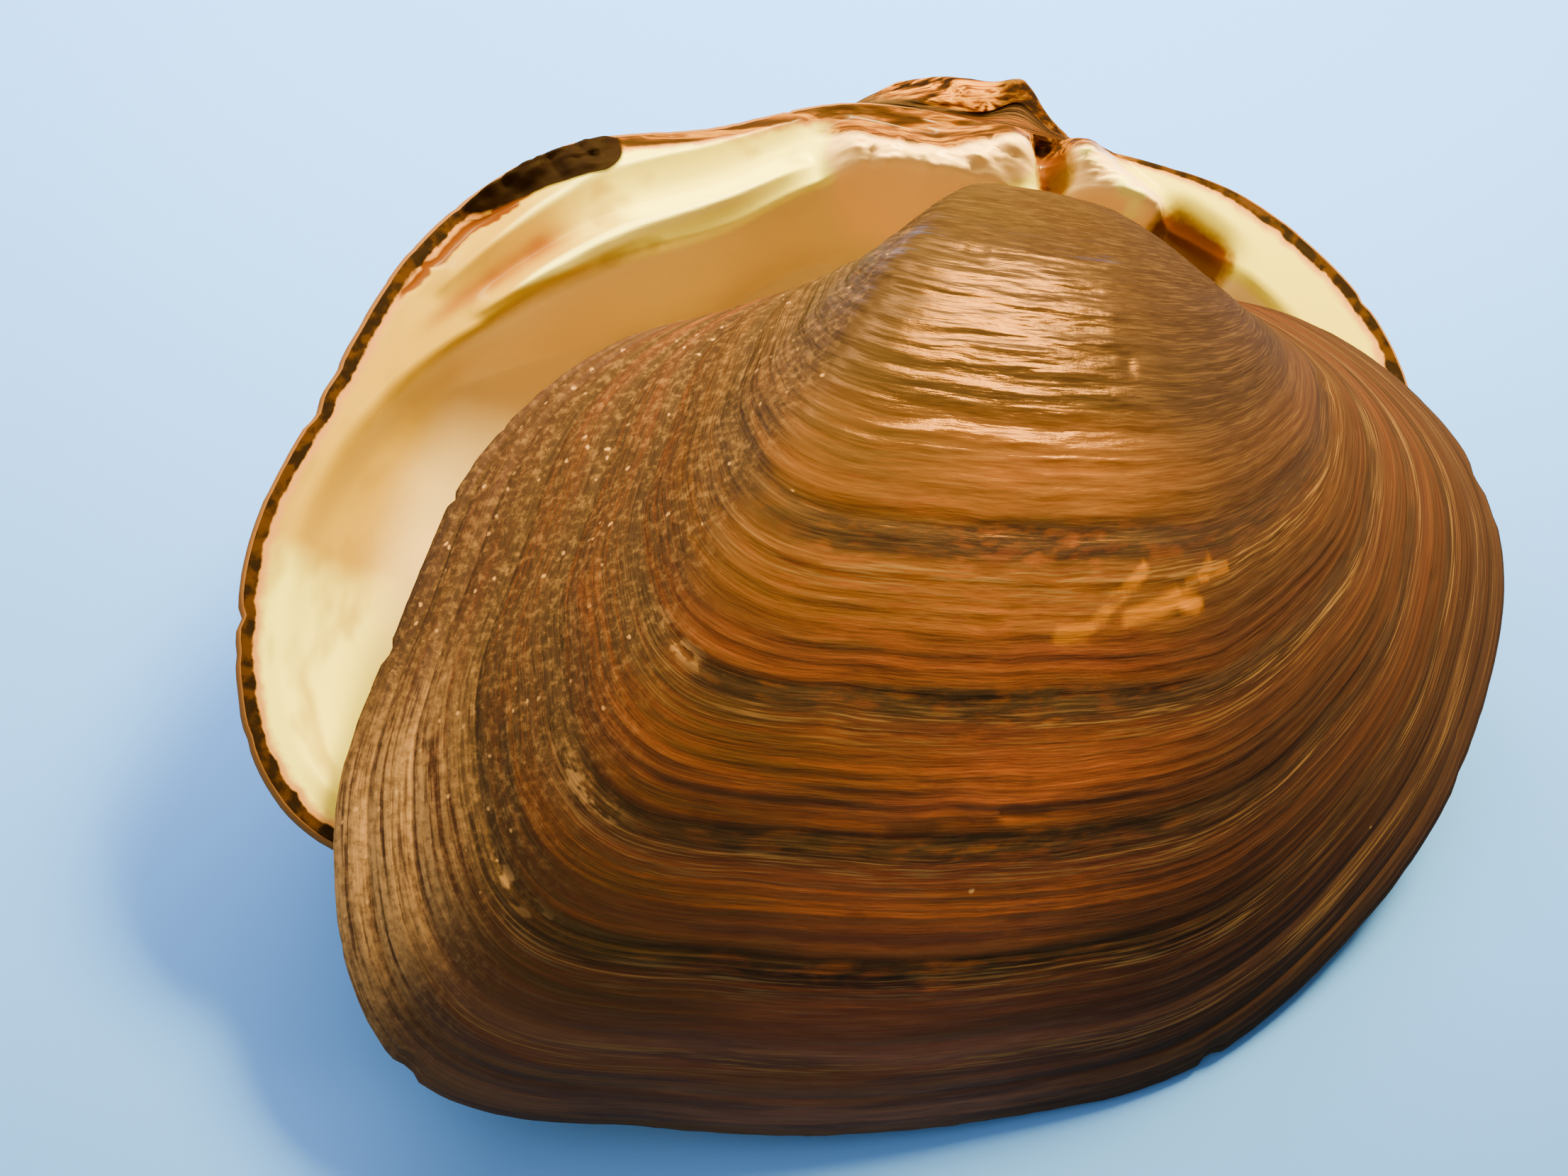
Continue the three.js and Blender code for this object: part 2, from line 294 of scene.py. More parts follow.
class NacreColours(bpy.types.PropertyGroup):
    """Colours of the pearly inside."""

    cream: colour_property("Cream", "Palest mother-of-pearl", (252, 240, 84))
    gold: colour_property("Gold", "Golden mother-of-pearl", (190, 148, 14))
    amber: colour_property("Amber", "Deep golden blotches", (166, 128, 8))
    peach: colour_property("Peach", "Pale front end", (224, 208, 40))
    # Partly painted shade: this tan is the cavity's duller pearl and also stands in for the shade in the
    # deep cavity and under the hinge.
    hollow: colour_property("Hollow", "Tan of the deep cavity", (230, 200, 136))
    # Painted highlight: this pale colour on the crests stands in for the glints along the hinge teeth.
    tooth: colour_property("Tooth", "Pale crests of the hinge teeth", (255, 242, 120))
    # Painted light: the faces of the short hinge teeth get a paler tan than their own, standing in for the
    # light they miss.
    facet_painted_light: colour_property("Facet", "Tan faces of the short hinge teeth", (252, 204, 124))
    # Partly painted shade: the brown in the pits and sockets stands in for their shadow as well as their own
    # tint. It also colours the jagged seam.
    scar: colour_property("Scar", "Brown of pits and sockets", (100, 50, 10))
    ligament: colour_property("Ligament", "Orange brown layers at the hinge", (124, 66, 10))
    ochre: colour_property("Ochre", "Pale layers at the hinge", (196, 130, 20))
    border: colour_property("Border", "Pinkish white line inside the rim", (190, 128, 60))
    rim: colour_property("Rim", "Horny brown rim", (64, 38, 14))
    # Crust is also laid over the front side of the left beak as painted shadow.
    crust: colour_property("Crust", "Dark dried layers and the lump on the edge", (30, 18, 10))


class StageLook(bpy.types.PropertyGroup):
    """The floor and the light."""

    floor: colour_property("Floor", "Plain pale floor", (84, 152, 255))
    light: colour_property("Light", "Warm white of the lights", (255, 243, 216))
    glow: colour_property("Glow", "Golden white of the window light", (255, 230, 156))
    window_power: power_property("Window", "Power of the window light", 0.45)
    sky_power: power_property("Sky", "Power of the light overhead", 1.6)
    backdrop_power: power_property("Backdrop", "Power of the light over the floor behind", 0.8)
    room_strength: FloatProperty(name="Room", description="Brightness of the room's light", default=0.22)


def around_outline(values, angle):
    """A smooth curve through values that are evenly spaced round the outline."""
    knots = np.asarray(values, float)
    count = len(knots)
    place = (angle / FULL_TURN) % 1 * count
    first = np.floor(place).astype(int)
    t = place - first
    p0, p1, p2, p3 = (knots[(first + step) % count] for step in (-1, 0, 1, 2))
    bend = 2 * p0 - 5 * p1 + 4 * p2 - p3 + t * (3 * (p1 - p2) + p3 - p0)
    return p1 + 0.5 * t * (p2 - p0 + t * bend)


def angle_between(a, b):
    apart = np.abs(a - b) % FULL_TURN
    return np.minimum(apart, FULL_TURN - apart)


def swell_at(angle, swell):
    return swell["height"] * np.exp(-((angle_between(angle, swell["angle"]) / swell["spread"]) ** 2))


def smooth_step(share):
    t = np.clip(share, 0, 1)
    return t * t * (3 - 2 * t)


def risen(value, start, run):
    """Rises from 0 at the start to 1 after the run. A negative run goes back from the start."""
    return smooth_step((value - start) / run)


def under_hinge(dorsal):
    """The margin bends flat under the hinge line instead of crossing it."""
    return HINGE_LINE - HINGE_BLEND * np.logaddexp(0, (HINGE_LINE - dorsal) / HINGE_BLEND)


def plan_point(angle, radius):
    anterior = OUTLINE_CENTRE[0] + radius * np.cos(angle)
    dorsal = OUTLINE_CENTRE[1] + radius * np.sin(angle)
    return anterior, under_hinge(dorsal)


def stand_off(stage):
    return stage * (1 - EARLY_FLATNESS * (1 - stage) ** FLATNESS_FADE)


def coiled_point(angle, stage):
    anterior, dorsal = plan_point(angle, around_outline(OUTLINE_RADII, angle))
    turn = COIL_RATE * np.log(1 / stage)
    reach = stand_off(stage) * dorsal
    return np.stack((stage * anterior, reach * np.cos(turn), -reach * np.sin(turn)), -1)


def bulge_between(pauses, stage):
    """Rises from each growth pause and falls to the next, between 0 and 1."""
    marks = np.asarray(pauses)
    after = np.clip(np.searchsorted(marks, stage), 1, len(marks) - 1)
    share = (stage - marks[after - 1]) / (marks[after] - marks[after - 1])
    return np.sqrt(np.clip(np.sin(math.pi * np.clip(share, 0, 1)), 0, 1)) * (stage > marks[0])


def outer_height(anterior, dorsal):
    """The outer surface's height over a place inside the margin, found by halving the range of stages."""
    low = np.full(anterior.shape, math.exp(-STEEPEST_TURN / COIL_RATE))
    high = np.ones(anterior.shape)
    for _ in range(HEIGHT_SEARCHES):
        stage = (low + high) / 2
        turn = COIL_RATE * np.log(1 / stage)
        x = anterior / stage - OUTLINE_CENTRE[0]
        y = dorsal / (stand_off(stage) * np.cos(turn)) - OUTLINE_CENTRE[1]
        inside = np.hypot(x, y) < around_outline(OUTLINE_RADII, np.arctan2(y, x))
        high = np.where(inside, stage, high)
        low = np.where(inside, low, stage)
    return -dorsal * np.tan(COIL_RATE * np.log(1 / high))


def distance_to_line(anterior, dorsal, line):
    nearest = np.full(anterior.shape, np.inf)
    for (x0, y0), (x1, y1) in zip(line, line[1:]):
        dx, dy = x1 - x0, y1 - y0
        t = ((anterior - x0) * dx + (dorsal - y0) * dy) / (dx * dx + dy * dy)
        along = np.clip(t, 0, 1)
        nearest = np.minimum(nearest, np.hypot(anterior - x0 - along * dx, dorsal - y0 - along * dy))
    return nearest


def relief_of(lines, anterior, dorsal):
    total = np.zeros(anterior.shape)
    for line, height, reach in lines:
        share = np.clip(distance_to_line(anterior, dorsal, line) / reach, 0, 1)
        total += height * (1 - share * share) ** 2
    return total


def lateral_teeth_height(angle, share, teeth):
    middle = (LATERAL_TEETH_START + LATERAL_TEETH_END) / 2
    half = (LATERAL_TEETH_END - LATERAL_TEETH_START) / 2
    taper = np.clip(1 - (angle_between(angle, middle) / half) ** 4, 0, 1)
    back = smooth_step((angle - LATERAL_TEETH_START) / (LATERAL_TEETH_END - LATERAL_TEETH_START))
    total = np.zeros(np.broadcast(angle, share).shape)
    for first, last, height in teeth:
        apart = np.hypot(share - first - back * (last - first), CREST_ROUNDING) / LATERAL_TOOTH_REACH
        total += height * taper * np.clip(1 - apart, 0, 1) ** TOOTH_SHARPNESS
    return total


def groove_mask(angle, share, teeth):
    """1 along the groove between the two lateral teeth."""
    if len(teeth) < 2:
        return np.zeros(np.broadcast(angle, share).shape)
    run = (angle - LATERAL_TEETH_START) / (LATERAL_TEETH_END - LATERAL_TEETH_START)
    first, second = (start + smooth_step(run) * (end - start) for start, end, _ in teeth)
    window = risen(run, *GROOVE["start"]) * risen(run, *GROOVE["end"])
    apart = (share - (first + second) / 2) / (GROOVE["width"] * (second - first))
    return window * np.exp(-(apart**2))


class SoftNoise:
    """Smooth random values between -1 and 1 on a seeded lattice."""

    CELLS = 64

    def __init__(self, seed):
        self.lattice = np.random.default_rng(seed).uniform(-1, 1, (self.CELLS,) * 3)

    def at(self, x, y, z):
        places = np.broadcast_arrays(x, y, z)
        low = [np.floor(place).astype(int) for place in places]
        share = [smooth_step(place - first) for place, first in zip(places, low)]
        total = np.zeros(places[0].shape)
        for corner in itertools.product((0, 1), repeat=3):
            index = tuple((first + side) % self.CELLS for first, side in zip(low, corner))
            weights = [t if side else 1 - t for t, side in zip(share, corner)]
            total += np.prod(weights, axis=0) * self.lattice[index]
        return total

    def layered(self, x, y, z, layers=3):
        total = sum(self.at(x * 2**i, y * 2**i, z * 2**i) / 2**i for i in range(layers))
        return total / (2 - 2 ** (1 - layers))

    def over(self, points, grain, shift=0.0, layers=3):
        """Layered values at points in space."""
        return self.layered(*np.moveaxis(points / grain + shift, -1, 0), layers)

    def pattern(self, kind, anterior, dorsal):
        """One kind of uneven relief over places in the valve's plan."""
        height, grain, part, layers = kind
        return height * self.layered(anterior / grain, dorsal / grain, part, layers)


def joined(parts):
    """All rings of points, and each value on them. It is 0 on a part that doesn't have it."""
    values = {
        name: np.concatenate([np.broadcast_to(v.get(name, 0.0), points.shape[:-1]) for points, v in parts])
        for name in sorted(set().union(*(v for _, v in parts)))
    }
    return np.concatenate([points for points, _ in parts]), values


def growth_rings(valve, sizes):
    """Each growth line has three rings: a foot, a swell and a crest. Lines crowd towards the margin."""
    rng = np.random.default_rng(valve["seed"])
    marks = np.array((BEAK_STAGE, *PAUSE_STAGES))
    weights = np.diff(marks**LINE_CROWDING_POWER)
    numbers = np.maximum(1, np.round(valve["growth_lines"] * weights / weights.sum()).astype(int))
    crests = []
    depths = []
    for start, end, number, share in zip(marks, marks[1:], numbers, PAUSE_DEPTHS):
        gaps = rng.uniform(*LINE_GAPS, number)
        crests.extend(start + (end - start) * np.cumsum(gaps) / gaps.sum())
        depths.extend(rng.uniform(*LINE_DEPTH_SHARES, number - 1) * sizes.line_depth / MM)
        depths.append(share * sizes.pause_depth / MM)
    crests = np.array(crests)
    feet = np.concatenate(([BEAK_STAGE], crests[:-1] + LEDGE_RUN))
    swells = feet + SWELL_PLACE * (crests - feet)
    return {
        "growth": np.stack((feet, swells, crests), -1).reshape(-1, 1),
        "rise": np.tile((0, SWELL_RISE, 1), len(crests))[:, None],
        "line": np.repeat(np.arange(len(crests)), 3)[:, None],
        "depth": np.repeat(depths, 3)[:, None],
    }


def chipped(angle, noise, sizes):
    """How far the thin edge is worn and chipped back at an angle."""
    x, y = np.cos(angle), np.sin(angle)
    worn = 0.5 + 0.5 * noise.layered(CHIPS["wear_waves"] * x, CHIPS["wear_waves"] * y, 2.5)
    bites = noise.at(CHIPS["chip_waves"] * x, CHIPS["chip_waves"] * y, 9.5)
    share = CHIPS["wear_share"]
    return sizes.chip_depth / MM * (share * worn + (1 - share) * risen(bites, *CHIPS["rise"]))


def rear_slope(angle):
    """1 on the dull slope behind the ridge, 0 on the disc."""
    front = smooth_step((SLOPE_EDGE + SLOPE_BLEND / 2 - angle) / SLOPE_BLEND)
    back = smooth_step((angle - SLOPE_BACK) / (3 * SLOPE_BLEND))
    return front * back


def coil_normal(theta, stage):
    along = coiled_point(theta + SLOPE_STEP, stage) - coiled_point(theta - SLOPE_STEP, stage)
    outwards = coiled_point(theta, stage + SLOPE_STEP) - coiled_point(theta, stage - SLOPE_STEP)
    normal = np.cross(outwards, along)
    return normal / np.linalg.norm(normal, axis=-1, keepdims=True)


def wavering_stage(theta, growth, slope, noise):
    """Where each growth line runs. It wavers, but not at the beak and the margin."""
    x, y = np.cos(theta), np.sin(theta)
    waver = LINE_WAVER * noise.layered(2.2 * x, 2.2 * y, 5 * growth)
    waver = waver + FINE_WAVER * (1 + slope) * noise.at(9 * x + 3 * growth, 9 * y, 30 * growth)
    stage = growth + waver * growth * (1 - growth**SWELL_END_SHARPNESS)
    return np.maximum(stage, BEAK_STAGE)


def broad_lift(theta, growth, dorsal):
    """The bulges between growth pauses, the ridge and the hollow behind it."""
    fade = np.minimum(1, -dorsal / RELIEF_FADE_DEPTH) ** 2
    swells = swell_at(theta, RIDGE) + swell_at(theta, HOLLOW_BEHIND_RIDGE)
    lift = fade * growth * BULGE_BETWEEN_PAUSES * bulge_between(PAUSE_STAGES, growth)
    return lift + fade * swells * growth * (1 - growth**SWELL_END_SHARPNESS)


def line_lift(rings, theta, noise):
    """The growth lines' own ledges, which come and go along each line."""
    x, y = np.cos(theta), np.sin(theta)
    unevenness = noise.layered(4 * x + 0.37 * rings["line"], 4 * y, 3.7 * rings["line"])
    evenness = LINE_UNEVENNESS + LINE_UNEVENNESS * unevenness
    return rings["rise"] * np.clip(evenness, 0, 2 * LINE_UNEVENNESS) * rings["depth"]


def flaked(growth):
    """1 just after the growth pauses that are worn into flakes."""
    behind = (growth - pause - FLAKES["behind_pause"] for pause in FLAKED_PAUSES)
    return sum(np.exp(-((past / FLAKES["run"]) ** 2)) for past in behind)


def pitted(points, noise):
    """1 in the few small pits of the skin."""
    return risen(noise.over(points, PITS["spacing"], 7.3, 1), *PITS["rise"])


def crusted(points, growth, noise):
    """1 on a beak that wears the hinge's dark layers, with a ragged end."""
    ragged = BEAK_CRUST["raggedness"] * noise.over(points, BEAK_CRUST["grain"], 3.1)
    return risen(growth + ragged, *BEAK_CRUST["fade"])


def outer_part(valve, angle, noise, sizes):
    """The outside's rings, from the beak to the margin, and the values that colour its skin."""
    rings = growth_rings(valve, sizes)
    theta = np.broadcast_to(angle, (len(rings["growth"]), len(angle)))
    growth = np.broadcast_to(rings["growth"], theta.shape)
    slope = rear_slope(theta % FULL_TURN)
    stage = wavering_stage(theta, growth, slope, noise)
    base = coiled_point(theta, stage)
    dorsal = plan_point(theta, around_outline(OUTLINE_RADII, theta))[1]
    near_hinge = np.minimum(1, -dorsal / HINGE_FADE)
    grown = near_hinge * np.minimum(1, growth / YOUNG_STAGE)
    ridge = np.exp(-((angle_between(theta, RIDGE["angle"]) / RIDGE_LINE_SPREAD) ** 2))
    flake = flaked(growth) * ridge
    beak = crusted(base, growth, noise) * valve["knobbed"]
    rough = (slope * sizes.grit_depth + flake * sizes.flake_depth) / MM
    lift = broad_lift(theta, growth, dorsal)
    lift = lift + line_lift(rings, theta, noise) * grown * (1 - SLOPE_LINE_SHARE * slope)
    lift = lift + noise.over(base, GRIT_GRAIN) * near_hinge * rough
    lift = lift - pitted(base, noise) * grown * sizes.pit_depth / MM
    lift = lift + beak * hinge_layers(noise, *np.moveaxis(base, -1, 0)) * sizes.layer_depth / MM
    lift = lift - valve["knobbed"] * beak_dip(theta, growth)
    points = base + coil_normal(theta, stage) * lift[..., None]
    points[..., 1] += valve["knobbed"] * beak_corner(points, growth)
    points[..., 2] += LIP_THICKNESS
    edge = risen(growth, CHIPPED_STAGE, 1 - CHIPPED_STAGE) * chipped(theta, noise, sizes)
    points[..., 0] -= edge * np.cos(theta)
    points[..., 1] -= edge * np.sin(theta)
    along, down = (theta % FULL_TURN) * STREAK_SCALE[0], growth * STREAK_SCALE[1]
    streak = relief_of(valve["streaks"], along, down)
    return points, dict(growth=growth, slope=slope, ridge=ridge, flake=flake, beak=beak, streak=streak)


def beak_dip(theta, growth):
    across = (growth - BEAK_DIP["stage"]) / BEAK_DIP["spread"]
    around = angle_between(theta, BEAK_DIP["angle"]) / BEAK_DIP["width"]
    return BEAK_DIP["depth"] * np.exp(-(across**2) - around**2)


def beak_corner(points, growth):
    anterior = (points[..., 0] - BEAK_CORNER["anterior"]) / BEAK_CORNER["reach"]
    dorsal = (points[..., 1] - BEAK_CORNER["dorsal"]) / BEAK_CORNER["reach"]
    young = 1 - risen(growth, YOUNG_STAGE, YOUNG_STAGE)
    return BEAK_CORNER["lift"] * young * np.exp(-(anterior**2) - dorsal**2)


def hinge_layers(noise, anterior, dorsal, height):
    """Thin layers drawn out along the hinge, between -1 and 1."""
    thickness = HINGE_LAYERS["thickness"]
    return noise.layered(anterior / HINGE_LAYERS["length"], dorsal / thickness, height / thickness + 4.5)


def ligament_mask(theta, inset, anterior, dorsal, crest):
    """1 on the layered brown band at the hinge's edge. By the beak it widens to a tooth's crest."""
    past_crest = dorsal - np.interp(anterior, *zip(*crest))
    wide = risen(theta, *LIGAMENT["step"]) * risen(past_crest, *LIGAMENT["past_crest"])
    band = np.maximum(wide, risen(inset, *LIGAMENT["narrow"]))
    return risen(theta, *LIGAMENT["start"]) * risen(theta, *LIGAMENT["end"]) * band


def seam_mask(theta, share, teeth, noise):
    """1 on the jagged brown line behind the outer lateral tooth's rear end."""
    first, last, _ = teeth[0]
    window = risen(theta, *JAGGED_SEAM["start"]) * risen(theta, *JAGGED_SEAM["end"])
    wander = JAGGED_SEAM["wander"] * noise.layered(JAGGED_SEAM["waves"] * theta, 0.5, 6.5)
    apart = (share - last + JAGGED_SEAM["behind_tooth"] - wander) / JAGGED_SEAM["width"]
    return window * np.exp(-(apart**2))


def cavity_height(anterior, dorsal, from_rim):
    """The cavity follows the outer surface under an even wall and rises softly from the rim."""
    hollow = np.where(from_rim > 0, np.maximum(0, outer_height(anterior, dorsal) - WALL_THICKNESS), 0)
    return hollow * smooth_step(from_rim / RIM_EDGE_RUN)


def inner_part(valve, theta, inset, noise, sizes):
    """The inside's rings, with the hinge's relief, and the values that colour its pearl."""
    chip = chipped(theta, noise, sizes) * (1 - risen(inset, LIP_INSET, CHIPS["fade"]))
    plan = plan_point(theta, around_outline(OUTLINE_RADII, theta) - inset - chip)
    rim_width = around_outline(RIM_WIDTHS, theta)
    share = inset / rim_width
    turned = theta % FULL_TURN
    teeth = valve["lateral_teeth"]
    hollow = cavity_height(*plan, inset - rim_width)
    lateral = lateral_teeth_height(theta, share, teeth)
    cardinal = relief_of(valve["cardinal_teeth"], *plan) * (1 + noise.pattern(TOOTH_JAGS, *plan))
    scars = relief_of(valve["scars"], *plan)
    lumps = relief_of(valve["lumps"], *plan)
    ligament = ligament_mask(turned, inset, *plan, valve["cardinal_teeth"][0][0])
    seam = seam_mask(turned, share, teeth, noise)
    relief = lateral * (1 + noise.pattern(LATERAL_WAVES, *plan)) + cardinal + scars
    relief = relief + lumps * (1 + noise.pattern(LUMP_WRINKLES, *plan))
    relief = relief + ligament * hinge_layers(noise, *plan, 0) * sizes.layer_depth / MM
    relief = relief - JAGGED_SEAM["depth"] * seam
    ripple = noise.pattern(PEARL_RIPPLE, *plan) * smooth_step(inset / RIPPLE_START)
    crust = noise.pattern(RIM_CRUST, *plan) * (1 - risen(inset, RIM_CRUST_WIDTH, RIM_CRUST_WIDTH))
    points = np.stack((*plan, hollow - relief + ripple + crust), -1)
    return points, dict(
        inset=inset, hollow=hollow, cardinal=cardinal, scar=-scars, lump=lumps, ligament=ligament, seam=seam,
        tooth=lateral / max(height for _, _, height in teeth),
        groove=groove_mask(turned, share, teeth),
        front=risen(angle_between(theta, FRONT_END["angle"]), *FRONT_END["fade"]),
    )


def lip_part(angle, noise, sizes):
    """The rings of the rounded edge between the outside and the inside."""
    theta = np.broadcast_to(angle, (LIP_ROWS, len(angle)))
    turn = (np.arange(LIP_ROWS)[:, None] + 0.5) / LIP_ROWS * math.pi / 2
    inset = LIP_INSET * (1 - np.cos(turn)) + chipped(theta, noise, sizes)
    anterior, dorsal = plan_point(theta, around_outline(OUTLINE_RADII, theta) - inset)
    height = np.broadcast_to(LIP_THICKNESS * (1 - np.sin(turn)), theta.shape)
    return np.stack((anterior, dorsal, height), -1)


def valve_sheet(valve, sizes):
    """Rings of points with their values, from the beak over the outside to the cavity's middle."""
    even = np.arange(valve["columns"]) * FULL_TURN / valve["columns"]
    angle = even - valve["crowding"] * np.sin(even - HINGE_SIDE)
    noise = SoftNoise(valve["seed"])
    outside = outer_part(valve, angle, noise, sizes)
    parts = [outside, (lip_part(angle, noise, sizes), dict(growth=1.0, lip=1.0))]
    rim_width = around_outline(RIM_WIDTHS, angle)
    rim = (valve["rim_rows"], LIP_INSET, rim_width)
    cavity = (valve["cavity_rows"], rim_width, around_outline(OUTLINE_RADII, angle))
    for rows, start, end in (rim, cavity):
        inset = start + (np.arange(rows)[:, None] + 0.5) / rows * (end - start)
        theta = np.broadcast_to(angle, inset.shape)
        points, values = inner_part(valve, theta, inset, noise, sizes)
        parts.append((points, {**values, "growth": 1.0}))
    points, values = joined(parts)
    values["angle_x"] = np.broadcast_to(np.cos(angle), points.shape[:-1])
    values["angle_y"] = np.broadcast_to(np.sin(angle), points.shape[:-1])
    return points, values, len(outside[0]) + LIP_ROWS


def closed_faces(rows, columns):
    """Quads between the rings, and a fan of triangles at each end."""
    row, column = np.meshgrid(np.arange(rows - 1), np.arange(columns), indexing="ij")
    a = row * columns + column
    b = a + columns
    d = row * columns + (column + 1) % columns
    quads = np.stack((a, b, d + columns, d), -1).reshape(-1, 4)
    around = np.arange(columns)
    beyond = np.roll(around, -1)
    first_middle = rows * columns
    last_middle = first_middle + 1
    last = (rows - 1) * columns
    start = np.stack((np.full(columns, first_middle), around, beyond), -1)
    end = np.stack((last + around, np.full(columns, last_middle), last + beyond), -1)
    return [*map(tuple, quads), *map(tuple, start), *map(tuple, end)]


def unwrapped(points, mirrored):
    """Flat map places for each face corner: the angle runs across and the way from ring to ring runs up."""
    rows, columns = points.shape[:2]
    steps = np.linalg.norm(np.diff(points, axis=0), axis=-1).mean(1)
    up = MAP_END + (1 - 2 * MAP_END) * np.concatenate(([0], np.cumsum(steps))) / steps.sum()
    left = np.arange(columns) / columns
    right = left + 1 / columns
    low, high = up[:-1, None], up[1:, None]
    quads = [(left, low), (left, high), (right, high), (right, low)]
    start = [((left + right) / 2, 0), (left, MAP_END), (right, MAP_END)]
    end = [(left, 1 - MAP_END), ((left + right) / 2, 1), (right, 1 - MAP_END)]
    places = []
    for corners, shape in ((quads, (rows - 1, columns)), (start, (columns,)), (end, (columns,))):
        corners = reversed(corners) if mirrored else corners
        pairs = [np.stack((np.broadcast_to(u, shape), np.broadcast_to(v, shape)), -1) for u, v in corners]
        places.append(np.stack(pairs, -2).ravel())
    return np.concatenate(places)


def placed(points, valve):
    """From a valve's own axes to where it lies, in metres. What would go below the floor is flattened."""
    points = points.copy()
    if valve["mirrored"]:
        points[:, 2] = -points[:, 2]
    pitch, roll, yaw = valve["turn"]
    turn = Matrix.Rotation(pitch, 3, "X") @ Matrix.Rotation(roll, 3, "Y") @ Matrix.Rotation(yaw, 3, "Z")
    world = points @ np.array(turn).T + np.array(valve["place"])
    world[:, 2] = np.maximum(world[:, 2], 0)
    return world * MM


def with_ends(value):
    """A value on the rings, and its mean on the middle point at each end."""
    return np.concatenate((value.ravel(), (value[0].mean(), value[-1].mean()))).astype(np.float32)


def make_valve(valve, sizes, skin, nacre):
    points, values, skin_rows = valve_sheet(valve, sizes)
    rows, columns = points.shape[:2]
    flat = np.concatenate((points.reshape(-1, 3), [points[0].mean(0), points[-1].mean(0)]))
    faces = closed_faces(rows, columns)
    if valve["mirrored"]:
        faces = [tuple(reversed(face)) for face in faces]
    mesh = bpy.data.meshes.new(valve["name"])
    mesh.from_pydata(placed(flat, valve).tolist(), [], faces)
    for name, value in values.items():
        mesh.attributes.new(name, "FLOAT", "POINT").data.foreach_set("value", with_ends(value))
    mesh.materials.append(skin)
    mesh.materials.append(nacre)
    pearly = np.repeat(np.arange(rows - 1) >= skin_rows - 1, columns)
    inside = np.concatenate((pearly, np.zeros(columns, bool), np.ones(columns, bool)))
    mesh.polygons.foreach_set("material_index", inside.astype(np.int32))
    mesh.uv_layers.new(name=BAKE_MAP).data.foreach_set("uv", unwrapped(points, valve["mirrored"]))
    mesh.shade_smooth()
    piece = bpy.data.objects.new(valve["name"], mesh)
    bpy.context.scene.collection.objects.link(piece)
    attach(piece, "root")
    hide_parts(valve["node"])
    return piece


class Wire:
    """A node's output. Sums, differences and products of wires and numbers add their Math nodes."""

    def __init__(self, nodes, socket):
        self.nodes = nodes
        self.socket = socket

    def math(self, operation, first, second):
        return self.nodes.add("ShaderNodeMath", {"operation": operation}, {0: first, 1: second})

    def __add__(self, other):
        return self.math("ADD", self, other)

    __radd__ = __add__

    def __sub__(self, other):
        return self.math("SUBTRACT", self, other)

    def __rsub__(self, other):
        return self.math("SUBTRACT", other, self)

    def __mul__(self, other):
        return self.math("MULTIPLY", self, other)

    __rmul__ = __mul__

    def spread(self, low, high):
        """0 below low, 1 above high and smooth between."""
        sockets = {"Value": self, "From Min": low, "From Max": high}
        return self.nodes.add("ShaderNodeMapRange", {"interpolation_type": "SMOOTHSTEP"}, sockets)


class MaterialNodes:
    """One material's nodes, made by expressions and by one method for every other node."""

    def __init__(self, name):
        self.material = bpy.data.materials.new(name)
        self.material.use_nodes = True
        self.tree = self.material.node_tree
        self.surface = self.tree.nodes["Principled BSDF"]

    def add(self, kind, settings, sockets, output=0):
        node = self.tree.nodes.new(kind)
        for name, value in settings.items():
            if name == "stops":
                self.set_stops(node.color_ramp, value)
            else:
                setattr(node, name, value)
        self.connect(node, sockets)
        return Wire(self, node.outputs[output])

    def connect(self, node, sockets):
        for name, value in sockets.items():
            if isinstance(value, Wire):
                self.tree.links.new(value.socket, node.inputs[name])
            else:
                node.inputs[name].default_value = value

    def set_stops(self, ramp, stops):
        while len(ramp.elements) < len(stops):
            ramp.elements.new(1)
        for element, (place, colour) in zip(ramp.elements, stops):
            element.position = place
            element.color = (*colour, 1)

    def attribute(self, name):
        settings = {"attribute_type": "GEOMETRY", "attribute_name": name}
        return self.add("ShaderNodeAttribute", settings, {}, "Fac")

    def point(self, x, y, z):
        return self.add("ShaderNodeCombineXYZ", {}, {0: x, 1: y, 2: z})

    def millimetres(self):
        place = self.add("ShaderNodeTexCoord", {}, {}, "Object")
        return self.add("ShaderNodeVectorMath", {"operation": "SCALE"}, {0: place, "Scale": 1 / MM})

    def noise(self, place, scale=1.0, detail=2.0, roughness=0.5):
        sockets = {"Vector": place, "Scale": scale, "Detail": detail, "Roughness": roughness}
        return self.add("ShaderNodeTexNoise", {}, sockets)

    def blend(self, share, first, second, mode="MIX"):
        colours = [c if isinstance(c, Wire) else (*c, 1) for c in (first, second)]
        settings = {"data_type": "RGBA", "blend_type": mode}
        return self.add("ShaderNodeMix", settings, {0: share, 6: colours[0], 7: colours[1]}, 2)

    def painted(self, base, *coats):
        """A colour under coats of other colours, each with its share."""
        for share, colour in coats:
            base = self.blend(share, base, colour)
        return base

    def grey(self, value):
        return self.add("ShaderNodeCombineColor", {}, {0: value, 1: value, 2: value})

    def bump(self, strength, millimetres, height):
        sockets = {"Strength": strength, "Distance": millimetres * MM, "Height": height}
        return self.add("ShaderNodeBump", {}, sockets)

    def finish(self, sockets, matte=None):
        """The material. Where its matte share is 1, the surface has no shine at all."""
        self.connect(self.surface, sockets)
        if matte:
            dull = self.tree.nodes.new("ShaderNodeBsdfPrincipled")
            self.connect(dull, {**sockets, "Specular IOR Level": 0, "Roughness": 1})
            ends = {0: matte, 1: Wire(self, self.surface.outputs[0]), 2: Wire(self, dull.outputs[0])}
            mixed = self.add("ShaderNodeMixShader", {}, ends)
            self.connect(self.tree.nodes["Material Output"], {"Surface": mixed})
        return self.material


